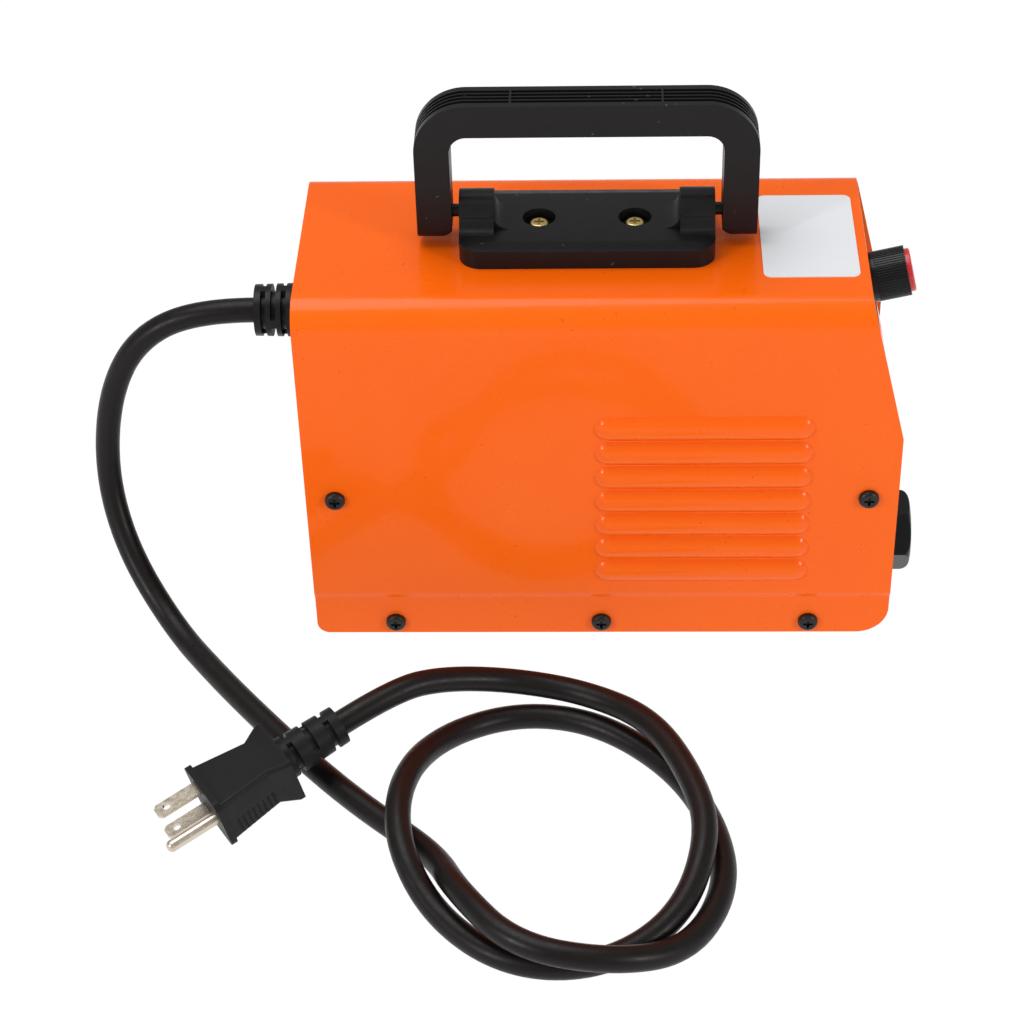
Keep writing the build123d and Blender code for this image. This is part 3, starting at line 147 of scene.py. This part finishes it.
class Finish:
    """One material: a Principled shader and the nodes that feed it."""

    def __init__(self, name, **constants):
        self.material = bpy.data.materials.new(name)
        self.material.use_nodes = True
        self.tree = self.material.node_tree
        self.shader = self.tree.nodes["Principled BSDF"]
        for socket, value in constants.items():
            self.shader.inputs[socket.replace("_", " ")].default_value = value

    def node(self, kind, settings=None, output=0, **sockets):
        """A node of that kind, its settings made first, then its sockets given values or wires."""
        made = self.tree.nodes.new("ShaderNode" + kind)
        for name, value in (settings or {}).items():
            setattr(made, name, value)
        for name, value in sockets.items():
            slot = made.inputs[int(name[1:])] if name[1:].isdigit() else made.inputs[name.replace("_", " ")]
            if isinstance(value, Wire):
                self.tree.links.new(value.socket, slot)
            else:
                slot.default_value = value
        return Wire(self.tree, made.outputs[output])

    def feed(self, **sockets):
        for name, wire in sockets.items():
            self.tree.links.new(wire.socket, self.shader.inputs[name.replace("_", " ")])

    def place(self):
        return self.node("TexCoord", output="Object")

    def noise(self, scale, detail=3.0, roughness=0.55):
        """Noise on the piece's own coordinates; scale counts lumps per metre."""
        return self.node("TexNoise", Vector=self.place(), Scale=scale, Detail=detail, Roughness=roughness)

    def between(self, share, low, high):
        """A number that goes from low to high as share goes from 0.3 to 0.7."""
        return self.node(
            "MapRange", {"clamp": True}, Value=share,
            From_Min=0.3, From_Max=0.7, To_Min=low, To_Max=high,
        )

    def blend(self, share, first, second):
        return self.node("Mix", {"data_type": "RGBA"}, output=2, _0=share, _6=first, _7=second)

    def relief(self, height, strength, distance):
        self.feed(Normal=self.node("Bump", Height=height, Strength=strength, Distance=distance))

    def specks(self, colour, per_metre=420, share=0.7):
        """Sparse specks of dust or chipped finish over the colour already fed."""
        under = Wire(self.tree, self.shader.inputs["Base Color"].links[0].from_socket)
        dots = self.noise(per_metre, 1, 0.4) > 0.73
        patches = self.noise(38, 2) > 0.56
        self.feed(Base_Color=self.blend(dots * patches * share, under, colour))

    def worn(self, colour, second_colour, low, high, grain, blotch=60, grain_depth=0.02):
        """Colour and gloss that drift slowly over the surface, with a fine grain in relief."""
        drift = self.noise(blotch)
        self.feed(Base_Color=self.blend(drift, colour, second_colour))
        self.feed(Roughness=self.between(self.noise(blotch * 2.3, 5), low, high))
        self.relief(self.noise(grain, 2), 0.35, grain_depth * MM)
        return self


def rgb(red, green, blue):
    """A linear colour from the usual 0 to 255 values."""
    def straight(value):
        share = value / 255
        return share / 12.92 if share <= 0.04045 else ((share + 0.055) / 1.055) ** 2.4
    return (straight(red), straight(green), straight(blue), 1.0)


orange_coat = Finish("orange_powder_coat", Specular_IOR_Level=0.16, Coat_Weight=0.16, Coat_Roughness=0.06)
orange_coat.worn(rgb(246, 97, 3), rgb(250, 102, 6), 0.24, 0.34, 900, 35, 0.012)
orange_coat.specks(rgb(150, 62, 16), 760, 0.5)

black_nylon = Finish("black_nylon", Specular_IOR_Level=0.22)
black_nylon.worn(rgb(17, 16, 18), rgb(23, 22, 23), 0.34, 0.46, 2600, 120, 0.03)
black_nylon.specks(rgb(74, 72, 72))

black_gloss = Finish("polished_black_plastic", Specular_IOR_Level=0.3)
black_gloss.worn(rgb(13, 13, 14), rgb(18, 18, 19), 0.16, 0.26, 500, 90, 0.01)

black_coat = Finish("black_fine_texture_coat", Specular_IOR_Level=0.3)
black_coat.worn(rgb(24, 24, 25), rgb(31, 30, 31), 0.45, 0.6, 3000, 70, 0.03)

cord_jacket = Finish("black_cord_jacket", Specular_IOR_Level=0.2)
cord_jacket.worn(rgb(17, 14, 14), rgb(25, 20, 19), 0.32, 0.46, 1500, 140, 0.02)

black_rubber = Finish("black_rubber", Specular_IOR_Level=0.2)
black_rubber.worn(rgb(16, 16, 17), rgb(22, 21, 22), 0.4, 0.55, 2500, 80, 0.03)

red_cap = Finish("translucent_red_plastic", Specular_IOR_Level=0.5)
red_cap.worn(rgb(196, 38, 42), rgb(214, 52, 56), 0.2, 0.32, 700, 150, 0.01)

black_screw = Finish("blackened_steel", Metallic=0.6, Specular_IOR_Level=0.5)
black_screw.worn(rgb(30, 28, 28), rgb(52, 47, 46), 0.28, 0.46, 2500, 500, 0.02)

yellow_zinc = Finish("yellow_zinc_plate", Metallic=1.0)
yellow_zinc.worn(rgb(226, 205, 140), rgb(205, 178, 112), 0.2, 0.36, 2500, 500, 0.02)

nickel = Finish("nickel_plate", Metallic=1.0)
nickel.worn(rgb(222, 212, 196), rgb(203, 190, 170), 0.2, 0.4, 1800, 260, 0.02)

zinc_sheet = Finish("zinc_sheet", Metallic=1.0)
zinc_sheet.worn(rgb(188, 190, 192), rgb(204, 205, 207), 0.3, 0.48, 1200, 90, 0.01)

turned_steel = Finish("turned_steel", Metallic=1.0)
turned_steel.worn(rgb(190, 190, 192), rgb(206, 206, 208), 0.22, 0.34, 2500, 200, 0.01)

brass = Finish("turned_brass", Metallic=1.0)
brass.worn(rgb(222, 190, 118), rgb(208, 172, 98), 0.22, 0.36, 2200, 240, 0.01)

aluminium = Finish("extruded_aluminium", Metallic=1.0)
aluminium.worn(rgb(208, 209, 212), rgb(220, 221, 223), 0.3, 0.42, 1500, 120, 0.01)

copper = Finish("lacquered_copper_wire", Metallic=1.0)
copper.worn(rgb(206, 128, 82), rgb(190, 108, 66), 0.26, 0.4, 1600, 160, 0.02)

label_film = Finish("light_grey_label_film", Specular_IOR_Level=0.4)
label_film.worn(rgb(222, 224, 227), rgb(227, 228, 231), 0.3, 0.42, 1500, 60, 0.004)

board_green = Finish("green_board_laminate", Specular_IOR_Level=0.5)
board_green.worn(rgb(22, 84, 50), rgb(28, 96, 58), 0.28, 0.42, 1400, 300, 0.02)

moulded_black = Finish("moulded_black_case", Specular_IOR_Level=0.35)
moulded_black.worn(rgb(28, 28, 29), rgb(36, 35, 36), 0.42, 0.58, 2400, 160, 0.02)

ferrite = Finish("pressed_ferrite", Specular_IOR_Level=0.4)
ferrite.worn(rgb(62, 62, 64), rgb(74, 74, 76), 0.5, 0.66, 2400, 200, 0.03)

capacitor_blue = Finish("blue_shrink_sleeve", Specular_IOR_Level=0.5)
capacitor_blue.worn(rgb(30, 40, 84), rgb(36, 48, 96), 0.2, 0.34, 900, 90, 0.01)

smoked_window = Finish("smoked_window", Specular_IOR_Level=0.6, Coat_Weight=0.5, Coat_Roughness=0.05)
smoked_window.worn(rgb(40, 8, 8), rgb(46, 10, 10), 0.08, 0.14, 400, 80, 0.002)

amber_lens = Finish("amber_lens", Specular_IOR_Level=0.6)
amber_lens.worn(rgb(236, 150, 44), rgb(244, 164, 58), 0.1, 0.2, 500, 200, 0.004)

finishes = {
    "cover": orange_coat, "base_tray": zinc_sheet, "front_panel": black_coat, "rear_panel": black_coat,
    "rubber_feet": black_rubber, "foot_screws": black_screw, "cover_screws": black_screw,
    "top_label": label_film, "handle_base": black_nylon, "handle_screws": yellow_zinc,
    "handle_nuts": yellow_zinc, "carry_handle": black_nylon, "hinge_pins": black_screw,
    "scale_plate": label_film, "display_window": smoked_window, "indicator_lenses": amber_lens,
    "potentiometer_body": moulded_black, "potentiometer_nut": yellow_zinc,
    "potentiometer_shaft": turned_steel, "control_knob": black_gloss, "knob_cap": red_cap,
    "socket_collar_positive": black_gloss, "socket_collar_negative": black_gloss,
    "socket_contact_positive": brass, "socket_contact_negative": brass, "socket_nuts": moulded_black,
    "fan_frame": moulded_black, "fan_rotor": moulded_black, "fan_screws": yellow_zinc,
    "switch_housing": black_gloss, "switch_rocker": red_cap, "switch_terminals": brass,
    "cord_strain_relief": black_nylon, "plug_body": black_rubber, "plug_blades": nickel,
    "plug_ground_pin": nickel, "main_board": board_green, "board_standoffs": brass,
    "left_heatsink": aluminium, "right_heatsink": aluminium, "power_transistors": moulded_black,
    "bus_capacitors": capacitor_blue, "rectifier_bridge": moulded_black, "transformer_core": ferrite,
    "transformer_winding": copper, "output_choke": copper, "output_busbars": copper,
    "control_board": board_green,
}
for node_name, finish in finishes.items():
    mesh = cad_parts[node_name].data
    mesh.materials.clear()
    mesh.materials.append(finish.material)


# ---------------------------------------------------------------- rounded edges
def softened(node_name, body, width):
    """A copy of a CAD piece with its hard edges rounded off, standing for it."""
    piece = bpy.data.objects.new(node_name + "_soft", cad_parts[node_name].data.copy())
    bpy.context.scene.collection.objects.link(piece)
    bpy.ops.object.select_all(action="DESELECT")
    bpy.context.view_layer.objects.active = piece
    piece.select_set(True)
    bpy.ops.mesh.customdata_custom_splitnormals_clear()
    bpy.ops.object.mode_set(mode="EDIT")
    bpy.ops.mesh.select_all(action="SELECT")
    bpy.ops.mesh.remove_doubles(threshold=0.01 * MM)
    bpy.ops.mesh.dissolve_limited(angle_limit=math.radians(0.5))
    bpy.ops.object.mode_set(mode="OBJECT")
    rounding = piece.modifiers.new("rounding", "BEVEL")
    rounding.width = width
    rounding.segments = 2
    rounding.limit_method = "ANGLE"
    rounding.angle_limit = math.radians(32)
    bpy.ops.object.modifier_apply(modifier="rounding")
    bpy.ops.object.shade_smooth_by_angle(angle=math.radians(38))
    flat_faces = piece.modifiers.new("flat_faces", "WEIGHTED_NORMAL")
    flat_faces.keep_sharp = True
    flat_faces.weight = 100
    bpy.ops.object.modifier_apply(modifier="flat_faces")
    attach(piece, body)
    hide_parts(node_name)


softened("carry_handle", "handle", 0.5 * MM)
softened("handle_base", "case", 0.5 * MM)
softened("plug_body", "case", 0.45 * MM)

# ---------------------------------------------------------------- print on the front
slope_low, slope_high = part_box("scale_plate")
knob_low, knob_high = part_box("knob_cap")
# the front panel's upper part leans back by 14.4 in a rise of 59.8
SLOPE_UP = Vector((-14.4, 0, 59.8)).normalized()
SLOPE_OUT = Vector((59.8, 0, 14.4)).normalized()
ACROSS = Vector((0, 1, 0))
plate_middle = (Vector(slope_low) + Vector(slope_high)) / 2
knob_centre = (Vector(knob_low) + Vector(knob_high)) / 2
knob_up = (knob_centre - plate_middle).dot(SLOPE_UP)
PRINT_HEIGHT = 0.215 * MM
dial_centre = plate_middle + SLOPE_UP * knob_up + SLOPE_OUT * PRINT_HEIGHT

print_ink = Finish("black_print", Specular_IOR_Level=0.25)
print_ink.worn(rgb(34, 33, 35), rgb(44, 42, 44), 0.4, 0.55, 1800, 300, 0.002)
lit_digits = Finish("lit_red_digits", Emission_Strength=1.6)
lit_digits.worn(rgb(190, 30, 20), rgb(214, 44, 26), 0.25, 0.35, 900, 300, 0.002)
lit_digits.feed(Emission_Color=lit_digits.blend(lit_digits.noise(300), rgb(255, 44, 26), rgb(235, 30, 18)))


def on_plane(origin, right, up, out):
    return Matrix.Translation(origin) @ Matrix((right, up, out)).transposed().to_4x4()


def finish_piece(piece, name, finish, body):
    """Names a new piece, leaves its place in its mesh, gives it its finish and its body."""
    bpy.ops.object.transform_apply(location=True, rotation=True, scale=True)
    piece.name = name
    piece.data.materials.clear()
    piece.data.materials.append(finish.material)
    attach(piece, body)
    return piece


def printed_word(word, name, size, where, right, up, out, finish, body):
    """Raised print of one generic number or mark, centred at where."""
    bpy.ops.object.select_all(action="DESELECT")
    bpy.ops.object.text_add()
    piece = bpy.context.object
    piece.data.body = word
    piece.data.size = size
    piece.data.extrude = 0.02 * MM
    piece.data.align_x = "CENTER"
    piece.data.align_y = "CENTER"
    bpy.ops.object.convert(target="MESH")
    piece = bpy.context.object
    piece.matrix_world = on_plane(where, right, up, out)
    return finish_piece(piece, name, finish, body)


def dial_bar(name, where, right, up, out, width, height, finish, body):
    """A short raised bar of print, its corners cut round."""
    bpy.ops.object.select_all(action="DESELECT")
    bpy.ops.mesh.primitive_cube_add(size=1)
    piece = bpy.context.object
    piece.scale = (width, height, 0.05 * MM)
    bpy.ops.object.transform_apply(location=False, rotation=False, scale=True)
    bpy.ops.object.mode_set(mode="EDIT")
    bpy.ops.mesh.select_all(action="SELECT")
    bpy.ops.mesh.bevel(offset=0.015 * MM, segments=2)
    bpy.ops.object.mode_set(mode="OBJECT")
    piece.matrix_world = on_plane(where, right, up, out)
    return finish_piece(piece, name, finish, body)


DIAL_STEPS = 11
FIRST_TICK_ANGLE = 240
TICK_SPACING = 30
TICK_RADIUS = 11.4 * MM
TICK_WIDTH, TICK_LENGTH = 0.45 * MM, 1.6 * MM
NUMBER_RADIUS = 14.3 * MM
NUMBER_SIZE = 2.6 * MM
for step in range(DIAL_STEPS):
    turn = math.radians(FIRST_TICK_ANGLE - step * TICK_SPACING)
    radial = math.cos(turn) * ACROSS + math.sin(turn) * SLOPE_UP
    side = math.sin(turn) * ACROSS - math.cos(turn) * SLOPE_UP
    dial_bar(
        f"dial_tick_{step}", dial_centre + radial * TICK_RADIUS, side, radial, SLOPE_OUT,
        TICK_WIDTH, TICK_LENGTH, print_ink, "case",
    )
    if step % 2 == 0:
        printed_word(
            str(20 + step * 10), f"dial_number_{step}", NUMBER_SIZE, dial_centre + radial * NUMBER_RADIUS,
            ACROSS, SLOPE_UP, SLOPE_OUT, print_ink, "case",
        )

window_low, window_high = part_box("display_window")
window_middle = (Vector(window_low) + Vector(window_high)) / 2
DIGIT_SIZE = 8.4 * MM
DIGIT_HEIGHT = 0.81 * MM
printed_word(
    "120", "display_digits", DIGIT_SIZE, window_middle + SLOPE_OUT * DIGIT_HEIGHT,
    ACROSS, SLOPE_UP, SLOPE_OUT, lit_digits, "case",
)

# ---------------------------------------------------------------- the mains cord
def mains_cord(route, diameter):
    """The cord on one smooth line through its control points."""
    line = bpy.data.curves.new("mains_cord", "CURVE")
    line.dimensions = "3D"
    spline = line.splines.new("NURBS")
    spline.points.add(len(route) - 1)
    for point, place in zip(spline.points, route):
        point.co = (*place, 1)
    spline.order_u = 3
    spline.use_endpoint_u = True
    line.resolution_u = 12
    line.bevel_depth = diameter / 2
    line.bevel_resolution = 8
    line.materials.append(cord_jacket.material)
    cord = bpy.data.objects.new("mains_cord", line)
    bpy.context.scene.collection.objects.link(cord)
    return cord


CORD_DIAMETER = 9.8 * MM
FLOOR = 4.9  # the centre line's height where the cord lies on the floor
CORD_ROUTE = [Vector(place) * MM for place in (
    (-138.42, 0, 133.3), (-162, 0, 133.3), (-187, 0, 120), (-201, -1, 93), (-206, -5, 56), (-198, -20, 27),
    (-178, -43, FLOOR), (-157, -72, FLOOR), (-137, -97, FLOOR), (-115, -123, FLOOR), (-93, -146, FLOOR),
    (-66, -170, 5.5), (-56, -199, 17), (-35, -226, 18), (-1, -232, 16), (27, -218, 6.5), (42, -187, FLOOR),
    (39, -155, FLOOR), (24, -124, FLOOR), (-4, -99, FLOOR), (-35, -93, FLOOR), (-64, -108, 8),
    (-79, -140, 18), (-80, -173, 17), (-65, -200, FLOOR), (-37, -224, FLOOR), (-3, -224, FLOOR),
    (25, -203, 8), (36, -169, 17), (29, -140, 19), (15, -111, 18.5), (-10, -91, 14), (-39, -87, 17),
    (-65, -97, 27), (-83.19, -108.11, 31.18), (-103.64, -121.34, 25.56),
)]
mains_cord_piece = mains_cord(CORD_ROUTE, CORD_DIAMETER)
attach(mains_cord_piece, "case")
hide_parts("power_cord")

# ---------------------------------------------------------------- floor
bpy.ops.object.select_all(action="DESELECT")
FLOOR_SIZE = 12
FLOOR_DROP = 0.2 * MM
bpy.ops.mesh.primitive_plane_add(size=FLOOR_SIZE, location=(0, 0, -FLOOR_DROP))
floor = bpy.context.object
floor.name = "pale_floor"
floor_finish = Finish("pale_floor", Roughness=0.9, Specular_IOR_Level=0.1)
floor_finish.shader.inputs["Base Color"].default_value = (0.02, 0.02, 0.02, 1)
floor_finish.shader.inputs["Emission Color"].default_value = (1, 1, 1, 1)
floor_finish.shader.inputs["Emission Strength"].default_value = 1.0
floor.data.materials.append(floor_finish.material)
